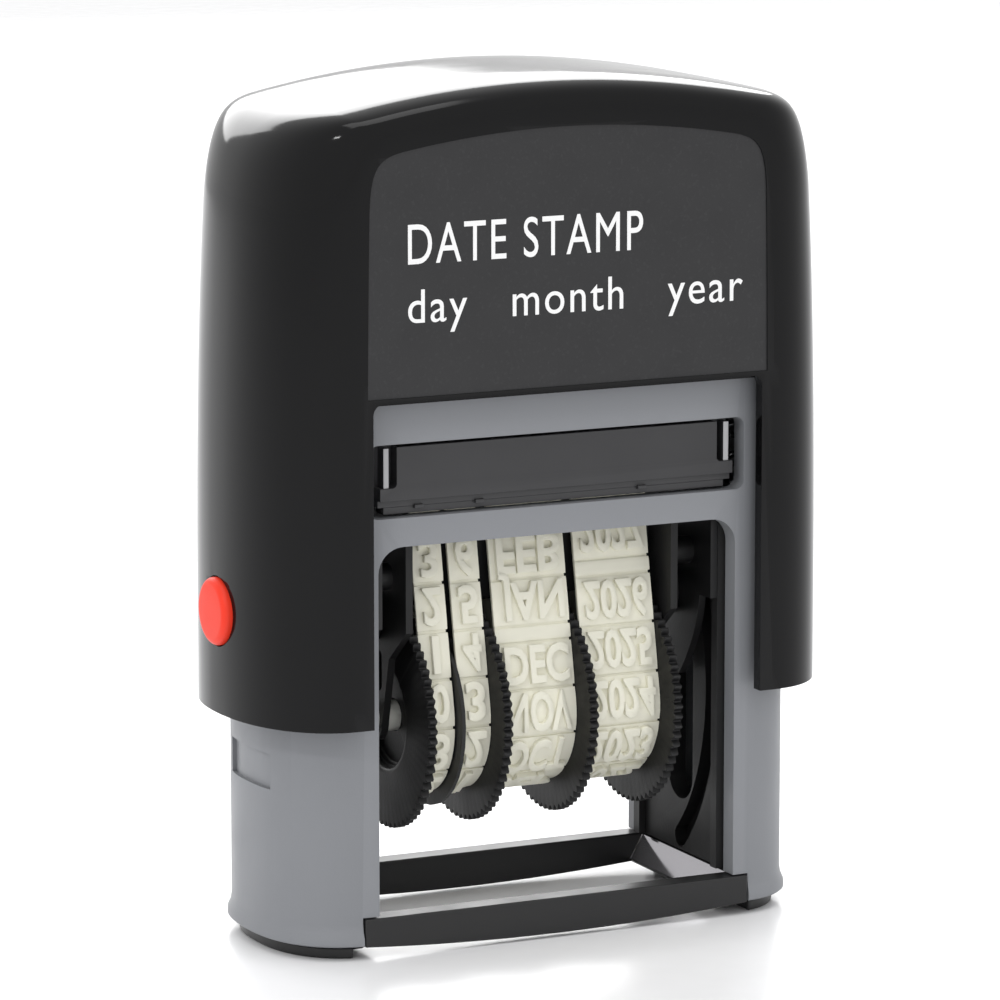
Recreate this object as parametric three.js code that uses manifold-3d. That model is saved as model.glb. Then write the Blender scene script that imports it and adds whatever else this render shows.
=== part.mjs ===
// Self-inking rotary date stamp, modelled at its real size in millimetres.
//
// +Z is up and the stamp stands on its foot plates at z = 0. +X runs along the width and -Y faces the user.
// Pressing the cover down drives the carriage down inside the frame and turns it over by half a turn, so
// that the print face swings from the ink pad above it to the paper below the base.
import * as THREE from "three";
import { mergeVertices } from "three/addons/utils/BufferGeometryUtils.js";
import Module from "manifold-3d";

const wasm = await Module();
wasm.setup();

// Clearances
const GAP = 0.3;
const RUNNING = 0.1;

// Cover: a cap with a leg down each end
const COVER = { halfWidth: 33.85, halfDepth: 15, endLength: 9.75, top: 91.8, bottom: 25.1, wall: 1.4 };
const CUTOUT = { halfWidth: 22.6, top: 59.2, radius: 1.2 };

// Frame: the housing that the cover slides on
const FRAME = { halfWidth: 30.55, halfDepth: 12.5, endLength: 9.75, bottom: 1.5, top: 64 };
const FRAME_SHOULDER = { inner: 27, bottom: 57.5 };
const DECK = { halfWidth: 20.5, bottom: 56, top: 57.5 };
const PAD_LEDGE = { inner: 17.8, outer: 19.9, bottom: 45.2, top: 46.5 };
const END_RECESS = { halfDepth: 5, bottom: 17.5, top: 21.3, depth: 0.45 };
const FRAME_END_WALL = 1.4;
const FRAME_FACE_WALL = 2.2;
const WINDOW = { halfWidth: 20.9, bottom: 4.5, top: 43.6, radius: 2.8 };
const PAD_SLOT = { halfWidth: 21.9, bottom: 46.65, top: 54.42, radius: 1 };
const FOOT_FLARE = 0.4;
const SPRING_SHELF = { inner: 24.8, bottom: 36, top: 38 };

// Base: two rails between two foot plates
const RAIL = { halfLength: 22.6, inner: 10, outer: 12.6, top: 4.36, bottom: 0.45 };
const PRINT_OPENING_HALF_WIDTH = 20;
const FOOT = { inner: 23.4, halfWidth: 29.8, halfDepth: 11.6, thickness: 1.2 };

// Motion: the pivot's height, the cover's stroke, and the guide pin's distance from the pivot
const PIVOT_Z = 34;
const STROKE = 20.8;
const GUIDE_ARM = 7;
const TRUNNION_RADIUS = 2.7;
const GUIDE_PIN_RADIUS = 1.15;
const GUIDE_PLATE = { inner: 20.95, outer: 23, halfDepth: 9.7, bottom: 4.7, top: 46.3 };
const GROOVE_DEPTH = 1.5;
const DRIVE_ARM = { inner: 23.3, outer: 24.5, halfDepth: 4, top: 86.9 };

// Date unit: bands run from drums on one axle up over the platen
const AXLE_Z = 23;
const AXLE_RADIUS = 1.65;
const AXLE_STUB = 1.9;
const SIDE_PLATE = { inner: 15.2, outer: 16, halfDepth: 8.5, waist: 4.2, foot: 2.5, top: 43.8 };
const PLATE_SLOT = { front: 2.4, back: 0.9, bottom: 26.2, top: 30.6 };
const SWING_ARM = { inner: 19.3, outer: 20.1, front: 9.8, back: 7, foot: 2.6 };
const BAND_RADIUS = 9;
const BAND_THICKNESS = 1.2;
const HEAD_HALF_DEPTH = 5.2;
const PRINT_FACE_Z = 47.2;
const DRUM_RADIUS = 7.6;
const WHEEL = { radius: 12, thickness: 0.95, teeth: 68, toothDepth: 0.55, recessRadius: 5.6, recessDepth: 1.4 };
// Each band's left and right edge, and the side that its thumb wheel stands on
const BANDS = [
  { name: "day_tens", left: -13.8, right: -10.3, wheelSide: -1 },
  { name: "day_units", left: -9.6, right: -6.1, wheelSide: 1 },
  { name: "month", left: -4.85, right: 4, wheelSide: 1 },
  { name: "year", left: 5.15, right: 14, wheelSide: 1 },
];
const DIVIDER = { left: -10.15, right: -9.75, radius: 10 };

// Springs, buttons and ink pad
const SPRING = { x: 26.8, inner: 1.5, outer: 2, top: 84.9 };
const SPRING_POST = { radius: 1.2, bottom: 80, top: 86.8 };
const BUTTON = { z: 36, radius: 3.6, proud: 0.8, flangeRadius: 4.1, flangeThickness: 0.35 };
const PAD_CASE = { halfWidth: 20.6, halfDepth: 12.2, bottom: 47.7, top: 54.1 };
const PAD_LIP = { halfWidth: 19.9, front: 11.4, back: 9.6, bottom: 46.95 };
const PAD = { halfWidth: 18.6, halfDepth: 8.1, top: 50.2 };

const SEGMENTS = 32;

const FINISHES = {
  blackGloss: { color: 0x18181a, roughness: 0.25, metalness: 0 },
  blackSatin: { color: 0x1c1c1e, roughness: 0.5, metalness: 0 },
  greySatin: { color: 0x8e9094, roughness: 0.5, metalness: 0 },
  creamRubber: { color: 0xe0e0d2, roughness: 0.7, metalness: 0 },
  whiteNylon: { color: 0xe6e6e0, roughness: 0.45, metalness: 0 },
  redGloss: { color: 0xee4838, roughness: 0.3, metalness: 0 },
  inkedFelt: { color: 0x16161c, roughness: 0.95, metalness: 0 },
  springSteel: { color: 0xb0b0b4, roughness: 0.3, metalness: 1 },
};

// ---------- solids ----------

function solid(geometry) {
  const bare = geometry.index ? geometry.toNonIndexed() : geometry.clone();
  bare.deleteAttribute("normal");
  bare.deleteAttribute("uv");
  const merged = mergeVertices(bare, 1e-4);
  return new wasm.Manifold(
    new wasm.Mesh({
      numProp: 3,
      vertProperties: new Float32Array(merged.attributes.position.array),
      triVerts: new Uint32Array(merged.index.array),
    }),
  );
}

function piece(name, body, finish) {
  const { vertProperties, triVerts } = body.getMesh();
  const geometry = new THREE.BufferGeometry();
  geometry.setAttribute("position", new THREE.BufferAttribute(vertProperties, 3));
  geometry.setIndex(new THREE.BufferAttribute(triVerts, 1));
  geometry.computeVertexNormals();
  const mesh = new THREE.Mesh(geometry, new THREE.MeshStandardMaterial(FINISHES[finish]));
  mesh.name = name;
  return mesh;
}

function box(low, high) {
  const size = high.map((value, i) => value - low[i]);
  const geometry = new THREE.BoxGeometry(...size);
  geometry.translate(...low.map((value, i) => value + size[i] / 2));
  return solid(geometry);
}

// A shape drawn in plan, as x and y, pulled up from bottom to top.
function prismZ(shape, bottom, top) {
  const depth = top - bottom;
  const geometry = new THREE.ExtrudeGeometry(shape, { depth, bevelEnabled: false, curveSegments: 8 });
  geometry.translate(0, 0, bottom);
  return solid(geometry);
}

// A shape drawn from the front, as x and z, pulled from front to back.
function prismY(shape, front, back) {
  const depth = back - front;
  const geometry = new THREE.ExtrudeGeometry(shape, { depth, bevelEnabled: false, curveSegments: 6 });
  geometry.rotateX(Math.PI / 2);
  geometry.translate(0, back, 0);
  return solid(geometry);
}

// A shape drawn from the right, as y and z, pulled from left to right.
function prismX(shape, left, right) {
  const depth = right - left;
  const geometry = new THREE.ExtrudeGeometry(shape, { depth, bevelEnabled: false, curveSegments: 8 });
  geometry.rotateZ(Math.PI / 2);
  geometry.rotateY(Math.PI / 2);
  geometry.translate(left, 0, 0);
  return solid(geometry);
}

// A round bar along X, at the height z.
function barX(radius, left, right, z, y = 0) {
  const geometry = new THREE.CylinderGeometry(radius, radius, right - left, SEGMENTS);
  geometry.rotateZ(Math.PI / 2);
  geometry.translate((left + right) / 2, y, z);
  return solid(geometry);
}

function joined(bodies) {
  return bodies.reduce((whole, next) => whole.add(next));
}

// The same piece on both sides: side is -1 on the left and 1 on the right.
function span(side, inner, outer) {
  return side > 0 ? [inner, outer] : [-outer, -inner];
}

// ---------- outlines ----------

function outline(points) {
  return new THREE.Shape(points.map(([x, y]) => new THREE.Vector2(x, y)));
}

// A long plan with straight faces and ends rounded as superellipses.
function roundedPlan(halfWidth, halfDepth, endLength, exponent = 2.2, steps = 7) {
  const points = [];
  for (const [sx, sy, from] of [[1, 1, 0], [-1, 1, 1], [-1, -1, 0], [1, -1, 1]]) {
    for (let i = 0; i <= steps; i++) {
      const turn = ((from ? steps - i : i) / steps) * (Math.PI / 2);
      const x = halfWidth - endLength + endLength * Math.cos(turn) ** (2 / exponent);
      const y = halfDepth * Math.sin(turn) ** (2 / exponent);
      if (i < steps || y > 0.001) points.push([sx * x, sy * (y < 0.001 ? 0 : y)]);
    }
  }
  return outline(points);
}

function roundedRectangle(left, bottom, right, top, radius) {
  const shape = new THREE.Shape();
  shape.moveTo(left + radius, bottom);
  shape.lineTo(right - radius, bottom);
  shape.absarc(right - radius, bottom + radius, radius, -Math.PI / 2, 0);
  shape.lineTo(right, top - radius);
  shape.absarc(right - radius, top - radius, radius, 0, Math.PI / 2);
  shape.lineTo(left + radius, top);
  shape.absarc(left + radius, top - radius, radius, Math.PI / 2, Math.PI);
  shape.lineTo(left, bottom + radius);
  shape.absarc(left + radius, bottom + radius, radius, Math.PI, 1.5 * Math.PI);
  return shape;
}

// The cover from the front: upright sides that lean in a little, round shoulders and a low arch on top.
function coverFront(inset, bottom) {
  const shape = new THREE.Shape();
  const waist = { x: 33.1 - inset, z: 69 };
  const shoulder = { x: 32.3 - inset, z: 79 };
  const arch = { x: 25 - inset, z: 89 - inset };
  const top = COVER.top - inset;
  shape.moveTo(-(COVER.halfWidth - inset), bottom);
  shape.lineTo(COVER.halfWidth - inset, bottom);
  shape.lineTo(waist.x, waist.z);
  shape.lineTo(shoulder.x, shoulder.z);
  shape.bezierCurveTo(31.9 - inset, 86 - inset, 30 - inset, 88.2 - inset, arch.x, arch.z);
  shape.quadraticCurveTo(arch.x / 2, top, 0, top);
  shape.quadraticCurveTo(-arch.x / 2, top, -arch.x, arch.z);
  shape.bezierCurveTo(-(30 - inset), 88.2 - inset, -(31.9 - inset), 86 - inset, -shoulder.x, shoulder.z);
  shape.lineTo(-waist.x, waist.z);
  return shape;
}

// A closed loop of band, at a distance inside its outer face: round the drum and over the platen above.
function bandLoop(inset) {
  const radius = BAND_RADIUS - inset;
  const corner = Math.max(1.5 - inset, 0.5);
  const half = HEAD_HALF_DEPTH - inset;
  const top = PRINT_FACE_Z - inset;
  const low = { y: half, z: 43.6 };
  const lean = Math.atan2(BAND_RADIUS - HEAD_HALF_DEPTH, low.z - AXLE_Z);
  const shape = new THREE.Shape();
  shape.moveTo(low.y, low.z);
  shape.lineTo(half, top - corner);
  shape.absarc(half - corner, top - corner, corner, 0, Math.PI / 2);
  shape.lineTo(-(half - corner), top);
  shape.absarc(-(half - corner), top - corner, corner, Math.PI / 2, Math.PI);
  shape.lineTo(-low.y, low.z);
  const points = shape.getPoints(3).map((p) => [p.x, p.y]);
  const steps = 22;
  for (let i = 0; i <= steps; i++) {
    const turn = Math.PI - lean + ((Math.PI + 2 * lean) * i) / steps;
    points.push([radius * Math.cos(turn), AXLE_Z + radius * Math.sin(turn)]);
  }
  return outline(points);
}

// A thumb wheel's toothed edge.
function toothedCircle() {
  const points = [];
  const root = WHEEL.radius - WHEEL.toothDepth;
  for (let i = 0; i < WHEEL.teeth; i++) {
    for (const [part, radius] of [[0, root], [0.25, root], [0.45, WHEEL.radius], [0.8, WHEEL.radius]]) {
      const turn = ((i + part) / WHEEL.teeth) * 2 * Math.PI;
      points.push([radius * Math.cos(turn), radius * Math.sin(turn)]);
    }
  }
  return outline(points.map(([y, z]) => [y, z + AXLE_Z]));
}

// Where the guide pin is at a share of the stroke: it swings forward round the pivot as the pivot sinks.
function guidePoint(share) {
  const turn = Math.PI * share;
  const pivotZ = PIVOT_Z - STROKE * share;
  return new THREE.Vector2(-GUIDE_ARM * Math.sin(turn), pivotZ + GUIDE_ARM * Math.cos(turn));
}

// The guide pin's track, as wide as the pin and its clearance, with round ends.
function trackShape(halfWidth, steps = 28) {
  const left = [];
  const right = [];
  const end = (share, from) => {
    const centre = guidePoint(share);
    const points = [];
    for (let i = 0; i <= 6; i++) {
      const turn = from + (Math.PI * i) / 6;
      points.push([centre.x + halfWidth * Math.cos(turn), centre.y + halfWidth * Math.sin(turn)]);
    }
    return points;
  };
  for (let i = 0; i <= steps; i++) {
    const share = i / steps;
    const ahead = guidePoint(share + 0.001);
    const behind = guidePoint(share - 0.001);
    const along = ahead.sub(behind).normalize();
    const centre = guidePoint(share);
    left.push([centre.x - halfWidth * along.y, centre.y + halfWidth * along.x]);
    right.push([centre.x + halfWidth * along.y, centre.y - halfWidth * along.x]);
  }
  const startTurn = Math.atan2(left[0][1] - guidePoint(0).y, left[0][0] - guidePoint(0).x);
  const endTurn = Math.atan2(right[steps][1] - guidePoint(1).y, right[steps][0] - guidePoint(1).x);
  const points = [...left.slice(1).reverse(), ...end(0, startTurn)];
  return outline([...points, ...right.slice(1, steps), ...end(1, endTurn)]);
}

// ---------- frame ----------

function makeFrame() {
  const { halfWidth, halfDepth, endLength, bottom, top } = FRAME;
  const innerHalfWidth = halfWidth - FRAME_END_WALL;
  const innerHalfDepth = halfDepth - FRAME_FACE_WALL;
  const flare = roundedPlan(halfWidth + FOOT_FLARE, halfDepth + FOOT_FLARE, endLength, 2.4);
  let frame = prismZ(roundedPlan(halfWidth, halfDepth, endLength, 2.4), bottom, top);
  frame = frame.add(prismZ(flare, bottom, bottom + 0.9));
  const hollow = roundedPlan(innerHalfWidth, innerHalfDepth, endLength - 1, 2.4);
  frame = frame.subtract(prismZ(hollow, -1, top + 1));

  // The top corners slope down at each end, to clear the cover's round shoulders when it is pressed
  for (const side of [-1, 1]) {
    const corner = outline([
      [side * FRAME_SHOULDER.inner, top + 1],
      [side * FRAME_SHOULDER.inner, top],
      [side * halfWidth, FRAME_SHOULDER.bottom],
      [side * (halfWidth + 2), FRAME_SHOULDER.bottom],
      [side * (halfWidth + 2), top + 1],
    ]);
    frame = frame.subtract(prismY(corner, -halfDepth - 1, halfDepth + 1));
  }

  // The deck over the ink pad, the ledges under it and the shelves that the springs stand on
  const inside = innerHalfDepth + 0.5;
  frame = frame.add(box([-DECK.halfWidth, -inside, DECK.bottom], [DECK.halfWidth, inside, DECK.top]));
  const shelfPlan = roundedPlan(halfWidth - 0.7, halfDepth - 1, endLength - 0.5, 2.4);
  const shelves = prismZ(shelfPlan, SPRING_SHELF.bottom, SPRING_SHELF.top);
  for (const side of [-1, 1]) {
    const ledge = span(side, PAD_LEDGE.inner, PAD_LEDGE.outer);
    frame = frame.add(box([ledge[0], -inside, PAD_LEDGE.bottom], [ledge[1], inside, PAD_LEDGE.top]));
    const [left, right] = span(side, SPRING_SHELF.inner, halfWidth);
    frame = frame.add(shelves.intersect(box([left, -halfDepth, bottom], [right, halfDepth, top])));
  }

  // The windows, the pad slot and the notches for the base's rails, all right through
  const reach = halfDepth + 2;
  const reachIn = innerHalfDepth - 0.8;
  const slot = PAD_SLOT;
  const openings = [
    roundedRectangle(-WINDOW.halfWidth, WINDOW.bottom - 3, WINDOW.halfWidth, WINDOW.top, WINDOW.radius),
    roundedRectangle(-slot.halfWidth, slot.bottom, slot.halfWidth, slot.top, slot.radius),
    roundedRectangle(-RAIL.halfLength - 0.15, 0, RAIL.halfLength + 0.15, WINDOW.bottom, 0.05),
  ];
  for (const shape of openings) {
    for (const [front, back] of [[-reach, -reachIn], [reachIn, reach]]) {
      frame = frame.subtract(prismY(shape, front, back));
    }
  }

  // The shallow recess in each end, below the cover's legs
  const recess = END_RECESS;
  const outside = roundedPlan(halfWidth + 1, halfDepth + 1, endLength, 2.4);
  const floor = roundedPlan(halfWidth - recess.depth, halfDepth - recess.depth, endLength - 0.3, 2.4);
  const skin = prismZ(outside, recess.bottom, recess.top).subtract(prismZ(floor, bottom, top));
  const across = box([-halfWidth - 2, -recess.halfDepth, bottom], [halfWidth + 2, recess.halfDepth, top]);
  frame = frame.subtract(skin.intersect(across));
  return piece("frame", frame, "greySatin");
}

function makeBase() {
  const { halfLength, inner, outer, top, bottom } = RAIL;
  let base = box([-halfLength, -outer, bottom], [halfLength, outer, top]);
  const half = PRINT_OPENING_HALF_WIDTH;
  base = base.subtract(box([-half, -inner, -1], [half, inner, top + 1]));

  // The opening's ends slope outwards
  for (const side of [-1, 1]) {
    const slope = outline([
      [side * (half - 1), top + 0.5],
      [side * (half + 1.8), top + 0.5],
      [side * (half - 0.6), bottom],
    ]);
    base = base.subtract(prismY(slope, -inner, inner));
  }

  const feet = prismZ(roundedPlan(FOOT.halfWidth, FOOT.halfDepth, 9.4, 2.4), 0, FOOT.thickness);
  base = base.add(feet.subtract(box([-FOOT.inner, -20, -1], [FOOT.inner, 20, 5])));
  for (const side of [-1, 1]) {
    const web = span(side, halfLength - 1, FOOT.inner + 0.5);
    base = base.add(box([web[0], -inner, bottom], [web[1], inner, FOOT.thickness]));
  }
  return piece("base_frame", base, "blackSatin");
}

// The plate that the trunnion and the guide pin run in, with a straight slot and a curved track.
function makeGuidePlate(side, name) {
  const { inner, outer, halfDepth, bottom, top } = GUIDE_PLATE;
  const [left, right] = span(side, inner, outer);
  let plate = box([left, -halfDepth, bottom], [right, halfDepth, top]);
  const slotHalf = TRUNNION_RADIUS + RUNNING;
  const slotBottom = PIVOT_Z - STROKE - slotHalf;
  const slot = roundedRectangle(-slotHalf, slotBottom, slotHalf, PIVOT_Z + slotHalf, slotHalf - 0.01);
  plate = plate.subtract(prismX(slot, left - 1, right + 1));
  const [trackLeft, trackRight] = span(side, inner - 1, inner + GROOVE_DEPTH);
  plate = plate.subtract(prismX(trackShape(GUIDE_PIN_RADIUS + RUNNING), trackLeft, trackRight));
  const [ribLeft, ribRight] = span(side, inner - 0.75, inner + 0.5);
  for (const face of [-1, 1]) {
    const [front, back] = span(face, halfDepth - 1.3, halfDepth);
    plate = plate.add(box([ribLeft, front, bottom], [ribRight, back, top]));
  }
  return piece(name, plate, "blackSatin");
}

function makeSpring(side, name) {
  const { inner, outer, top } = SPRING;
  const bottom = SPRING_SHELF.top + GAP;
  const profile = [
    new THREE.Vector2(inner, bottom),
    new THREE.Vector2(outer, bottom),
    new THREE.Vector2(outer, top),
    new THREE.Vector2(inner, top),
    new THREE.Vector2(inner, bottom),
  ];
  const coil = new THREE.LatheGeometry(profile, 20);
  coil.rotateX(Math.PI / 2);
  coil.translate(side * SPRING.x, 0, 0);
  return piece(name, solid(coil), "springSteel");
}

// ---------- cover ----------

function makeCover() {
  const shell = (inset, bottom) => {
    const endLength = COVER.endLength - inset * 0.7;
    const plan = roundedPlan(COVER.halfWidth - inset, COVER.halfDepth - inset, endLength);
    const front = prismY(coverFront(inset, bottom), -COVER.halfDepth - 1, COVER.halfDepth + 1);
    return prismZ(plan, bottom, COVER.top + 1).intersect(front);
  };
  let cover = shell(0, COVER.bottom).subtract(shell(COVER.wall, COVER.bottom - 5));
  const { halfWidth, top, radius } = CUTOUT;
  const cutout = roundedRectangle(-halfWidth, COVER.bottom - 10, halfWidth, top, radius);
  cover = cover.subtract(prismY(cutout, -COVER.halfDepth - 2, COVER.halfDepth + 2));
  const postLength = SPRING_POST.top - SPRING_POST.bottom;
  for (const side of [-1, 1]) {
    const post = new THREE.CylinderGeometry(SPRING_POST.radius, SPRING_POST.radius, postLength, 20);
    post.rotateX(Math.PI / 2);
    post.translate(side * SPRING.x, 0, SPRING_POST.bottom + postLength / 2);
    cover = cover.add(solid(post));
    const [left, right] = span(side, COVER.halfWidth - 3, COVER.halfWidth + 3);
    cover = cover.subtract(barX(BUTTON.radius + 0.15, left, right, BUTTON.z));
  }
  return piece("cover", cover, "blackGloss");
}

// A flat arm that hangs from the cover's roof and carries the trunnion that the carriage turns on.
function makeDriveArm(side, name) {
  const { inner, outer, halfDepth, top } = DRIVE_ARM;
  const [left, right] = span(side, inner, outer);
  const shape = new THREE.Shape();
  shape.moveTo(halfDepth, PIVOT_Z);
  shape.lineTo(halfDepth, top);
  shape.lineTo(-halfDepth, top);
  shape.lineTo(-halfDepth, PIVOT_Z);
  shape.absarc(0, PIVOT_Z, halfDepth, Math.PI, 2 * Math.PI);
  const [pinLeft, pinRight] = span(side, SIDE_PLATE.inner + GAP, inner + 0.5);
  const arm = prismX(shape, left, right).add(barX(TRUNNION_RADIUS, pinLeft, pinRight, PIVOT_Z));
  return piece(name, arm, "blackSatin");
}

function makeButton(side, name) {
  const { z, radius, proud, flangeRadius, flangeThickness } = BUTTON;
  const flangeOuter = COVER.halfWidth - COVER.wall - 0.5;
  const face = COVER.halfWidth + proud;
  const profile = [
    new THREE.Vector2(0, flangeOuter - flangeThickness),
    new THREE.Vector2(flangeRadius, flangeOuter - flangeThickness),
    new THREE.Vector2(flangeRadius, flangeOuter),
    new THREE.Vector2(radius, flangeOuter),
    new THREE.Vector2(radius, face - 0.9),
    new THREE.Vector2(radius * 0.9, face - 0.45),
    new THREE.Vector2(radius * 0.6, face - 0.12),
    new THREE.Vector2(0, face),
  ];
  const button = new THREE.LatheGeometry(profile, SEGMENTS);
  button.rotateZ(-Math.PI / 2);
  if (side < 0) button.rotateZ(Math.PI);
  button.translate(0, 0, z);
  return piece(name, solid(button), "redGloss");
}

// ---------- ink pad ----------

function makePadCase() {
  const { halfWidth, halfDepth, bottom, top } = PAD_CASE;
  let tray = box([-halfWidth, -halfDepth, bottom], [halfWidth, halfDepth, top]);
  const wellWidth = PAD.halfWidth + GAP;
  const wellDepth = PAD.halfDepth + GAP;
  tray = tray.subtract(box([-wellWidth, -wellDepth, bottom - 1], [wellWidth, wellDepth, PAD.top + GAP]));
  for (const [sx, sy] of [[-1, -1], [1, -1], [1, 1], [-1, 1]]) {
    const [left, right] = span(sx, halfWidth - 1.5, halfWidth + 1);
    const [front, back] = span(sy, halfDepth - 1.2, halfDepth + 1);
    tray = tray.subtract(box([left, front, bottom + 1.9], [right, back, top + 1]));
  }

  // The front hangs a lip over the gap under the pad
  const lip = PAD_LIP;
  tray = tray.add(box([-lip.halfWidth, -lip.front, lip.bottom], [lip.halfWidth, -lip.back, bottom + 0.2]));
  return piece("ink_pad_case", tray, "blackSatin");
}

function makePad() {
  const { halfWidth, halfDepth, top } = PAD;
  const pad = box([-halfWidth, -halfDepth, PAD_CASE.bottom], [halfWidth, halfDepth, top]);
  return piece("ink_pad", pad, "inkedFelt");
}

// ---------- carriage and date unit ----------

// A side plate of the carriage, wide at the pivot and narrow at the axle, with a slot through it.
function makeSidePlate(side, name) {
  const { inner, outer, halfDepth, waist, foot, top } = SIDE_PLATE;
  const [left, right] = span(side, inner, outer);
  const half = [
    [foot, AXLE_Z],
    [waist, PIVOT_Z - 4],
    [halfDepth, PIVOT_Z - 0.5],
    [halfDepth, top - 1],
    [halfDepth - 1, top],
  ];
  const shape = new THREE.Shape();
  shape.moveTo(...half[0]);
  for (const [y, z] of half.slice(1)) shape.lineTo(y, z);
  for (const [y, z] of [...half].reverse()) shape.lineTo(-y, z);
  shape.absarc(0, AXLE_Z, foot, Math.PI, 2 * Math.PI);
  let plate = prismX(shape, left, right);
  plate = plate.subtract(barX(TRUNNION_RADIUS + RUNNING, left - 1, right + 1, PIVOT_Z));
  plate = plate.subtract(barX(AXLE_RADIUS + GAP, left - 1, right + 1, AXLE_Z));
  const slot = PLATE_SLOT;
  const slotShape = roundedRectangle(-slot.front, slot.bottom, -slot.back, slot.top, 0.74);
  return piece(name, plate.subtract(prismX(slotShape, left - 1, right + 1)), "blackSatin");
}

// An arm outside each side plate, a spacer's length away, that carries the guide pin.
function makeSwingArm(side, name) {
  const { inner, outer, front, back, foot } = SWING_ARM;
  const [left, right] = span(side, inner, outer);
  const waistZ = PIVOT_Z + 0.5;
  const top = SIDE_PLATE.top - 0.5;
  const shape = new THREE.Shape();
  shape.moveTo(foot, AXLE_Z + 2);
  shape.quadraticCurveTo(back - 2, PIVOT_Z - 4, back - 1.5, waistZ);
  shape.lineTo(back, waistZ);
  shape.lineTo(back, top);
  shape.lineTo(-front, top);
  shape.lineTo(-front, waistZ);
  shape.lineTo(-front + 2.5, waistZ);
  shape.quadraticCurveTo(-front + 3, PIVOT_Z - 4, -foot, AXLE_Z + 2);
  let arm = prismX(shape, left, right);
  arm = arm.subtract(barX(TRUNNION_RADIUS + RUNNING, left - 1, right + 1, PIVOT_Z));
  const [pinLeft, pinRight] = span(side, outer - 0.5, outer + GROOVE_DEPTH + 0.2);
  arm = arm.add(barX(GUIDE_PIN_RADIUS, pinLeft, pinRight, PIVOT_Z + GUIDE_ARM));
  const [spacerLeft, spacerRight] = span(side, SIDE_PLATE.outer + GAP, inner + 0.5);
  for (const y of [-4.5, 4.5]) arm = arm.add(barX(1.5, spacerLeft, spacerRight, PIVOT_Z + 5, y));
  return piece(name, arm, "blackSatin");
}

// The block that the bands are drawn over, which backs them up when they print.
function makePlaten() {
  const length = SIDE_PLATE.inner - GAP;
  const half = HEAD_HALF_DEPTH - BAND_THICKNESS - GAP;
  const top = PRINT_FACE_Z - BAND_THICKNESS - GAP;
  const bottom = AXLE_Z + WHEEL.radius + GAP;
  const block = prismX(roundedRectangle(-half, bottom, half, top, 0.8), -length, length);
  return piece("platen", block, "blackSatin");
}

function makeBand({ name, left, right }) {
  const inside = prismX(bandLoop(BAND_THICKNESS), left - 1, right + 1);
  return piece(name + "_band", prismX(bandLoop(0), left, right).subtract(inside), "creamRubber");
}

// A thumb wheel and the drum beside it that carries its band.
function makeWheel({ name, left, right, wheelSide }) {
  const { thickness } = WHEEL;
  const discLeft = wheelSide < 0 ? left - 0.1 - thickness : right + 0.05;
  const disc = [discLeft, discLeft + thickness];
  const drum = wheelSide < 0 ? [disc[0] + 0.3, right] : [left, disc[1] - 0.3];
  let wheel = prismX(toothedCircle(), ...disc).add(barX(DRUM_RADIUS, ...drum, AXLE_Z));
  if (wheelSide < 0) {
    wheel = wheel.subtract(barX(WHEEL.recessRadius, disc[0] - 1, disc[0] + WHEEL.recessDepth, AXLE_Z));
  }
  wheel = wheel.subtract(barX(AXLE_RADIUS + RUNNING, disc[0] - 20, disc[1] + 20, AXLE_Z));
  return piece(name + "_wheel", wheel, "blackSatin");
}

function makeDivider() {
  const disc = barX(DIVIDER.radius, DIVIDER.left, DIVIDER.right, AXLE_Z);
  return piece("divider_disc", disc.subtract(barX(AXLE_RADIUS + GAP, -20, 0, AXLE_Z)), "blackSatin");
}

function makeAxle() {
  const half = SIDE_PLATE.outer + AXLE_STUB;
  return piece("band_axle", barX(AXLE_RADIUS, -half, half, AXLE_Z), "whiteNylon");
}

// ---------- assembly ----------

const stamp = new THREE.Group();
stamp.add(makeFrame(), makeBase(), makeCover(), makePadCase(), makePad());
for (const [side, word] of [[-1, "left"], [1, "right"]]) {
  stamp.add(makeGuidePlate(side, "guide_plate_" + word));
  stamp.add(makeSpring(side, "return_spring_" + word));
  stamp.add(makeDriveArm(side, "drive_arm_" + word));
  stamp.add(makeButton(side, "lock_button_" + word));
  stamp.add(makeSidePlate(side, "carriage_plate_" + word));
  stamp.add(makeSwingArm(side, "swing_arm_" + word));
}
stamp.add(makePlaten(), makeAxle(), makeDivider());
for (const band of BANDS) stamp.add(makeBand(band), makeWheel(band));

export default stamp;
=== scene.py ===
import math

import bmesh
import bpy
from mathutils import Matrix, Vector


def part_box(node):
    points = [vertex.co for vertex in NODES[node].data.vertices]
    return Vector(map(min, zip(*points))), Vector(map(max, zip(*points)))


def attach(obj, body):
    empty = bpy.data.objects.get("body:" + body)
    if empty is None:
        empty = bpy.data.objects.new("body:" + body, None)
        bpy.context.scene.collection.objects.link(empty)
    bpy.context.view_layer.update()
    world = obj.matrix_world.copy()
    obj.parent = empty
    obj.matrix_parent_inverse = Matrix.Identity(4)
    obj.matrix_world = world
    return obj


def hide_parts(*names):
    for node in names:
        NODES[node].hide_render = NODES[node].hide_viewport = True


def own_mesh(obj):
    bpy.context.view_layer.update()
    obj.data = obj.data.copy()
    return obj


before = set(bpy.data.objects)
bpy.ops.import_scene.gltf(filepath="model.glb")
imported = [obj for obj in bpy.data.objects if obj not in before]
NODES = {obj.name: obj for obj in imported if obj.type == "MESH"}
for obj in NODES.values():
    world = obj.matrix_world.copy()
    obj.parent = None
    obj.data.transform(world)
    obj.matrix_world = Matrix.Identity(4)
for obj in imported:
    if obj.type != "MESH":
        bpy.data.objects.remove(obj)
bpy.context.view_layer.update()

MM = 0.001
scene = bpy.context.scene


# ---------- places, from the frame, in millimetres ----------

def span(node, axis):
    """The node's lowest and highest coordinate along an axis."""
    low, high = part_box(node)
    return low[axis] / MM, high[axis] / MM


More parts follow.
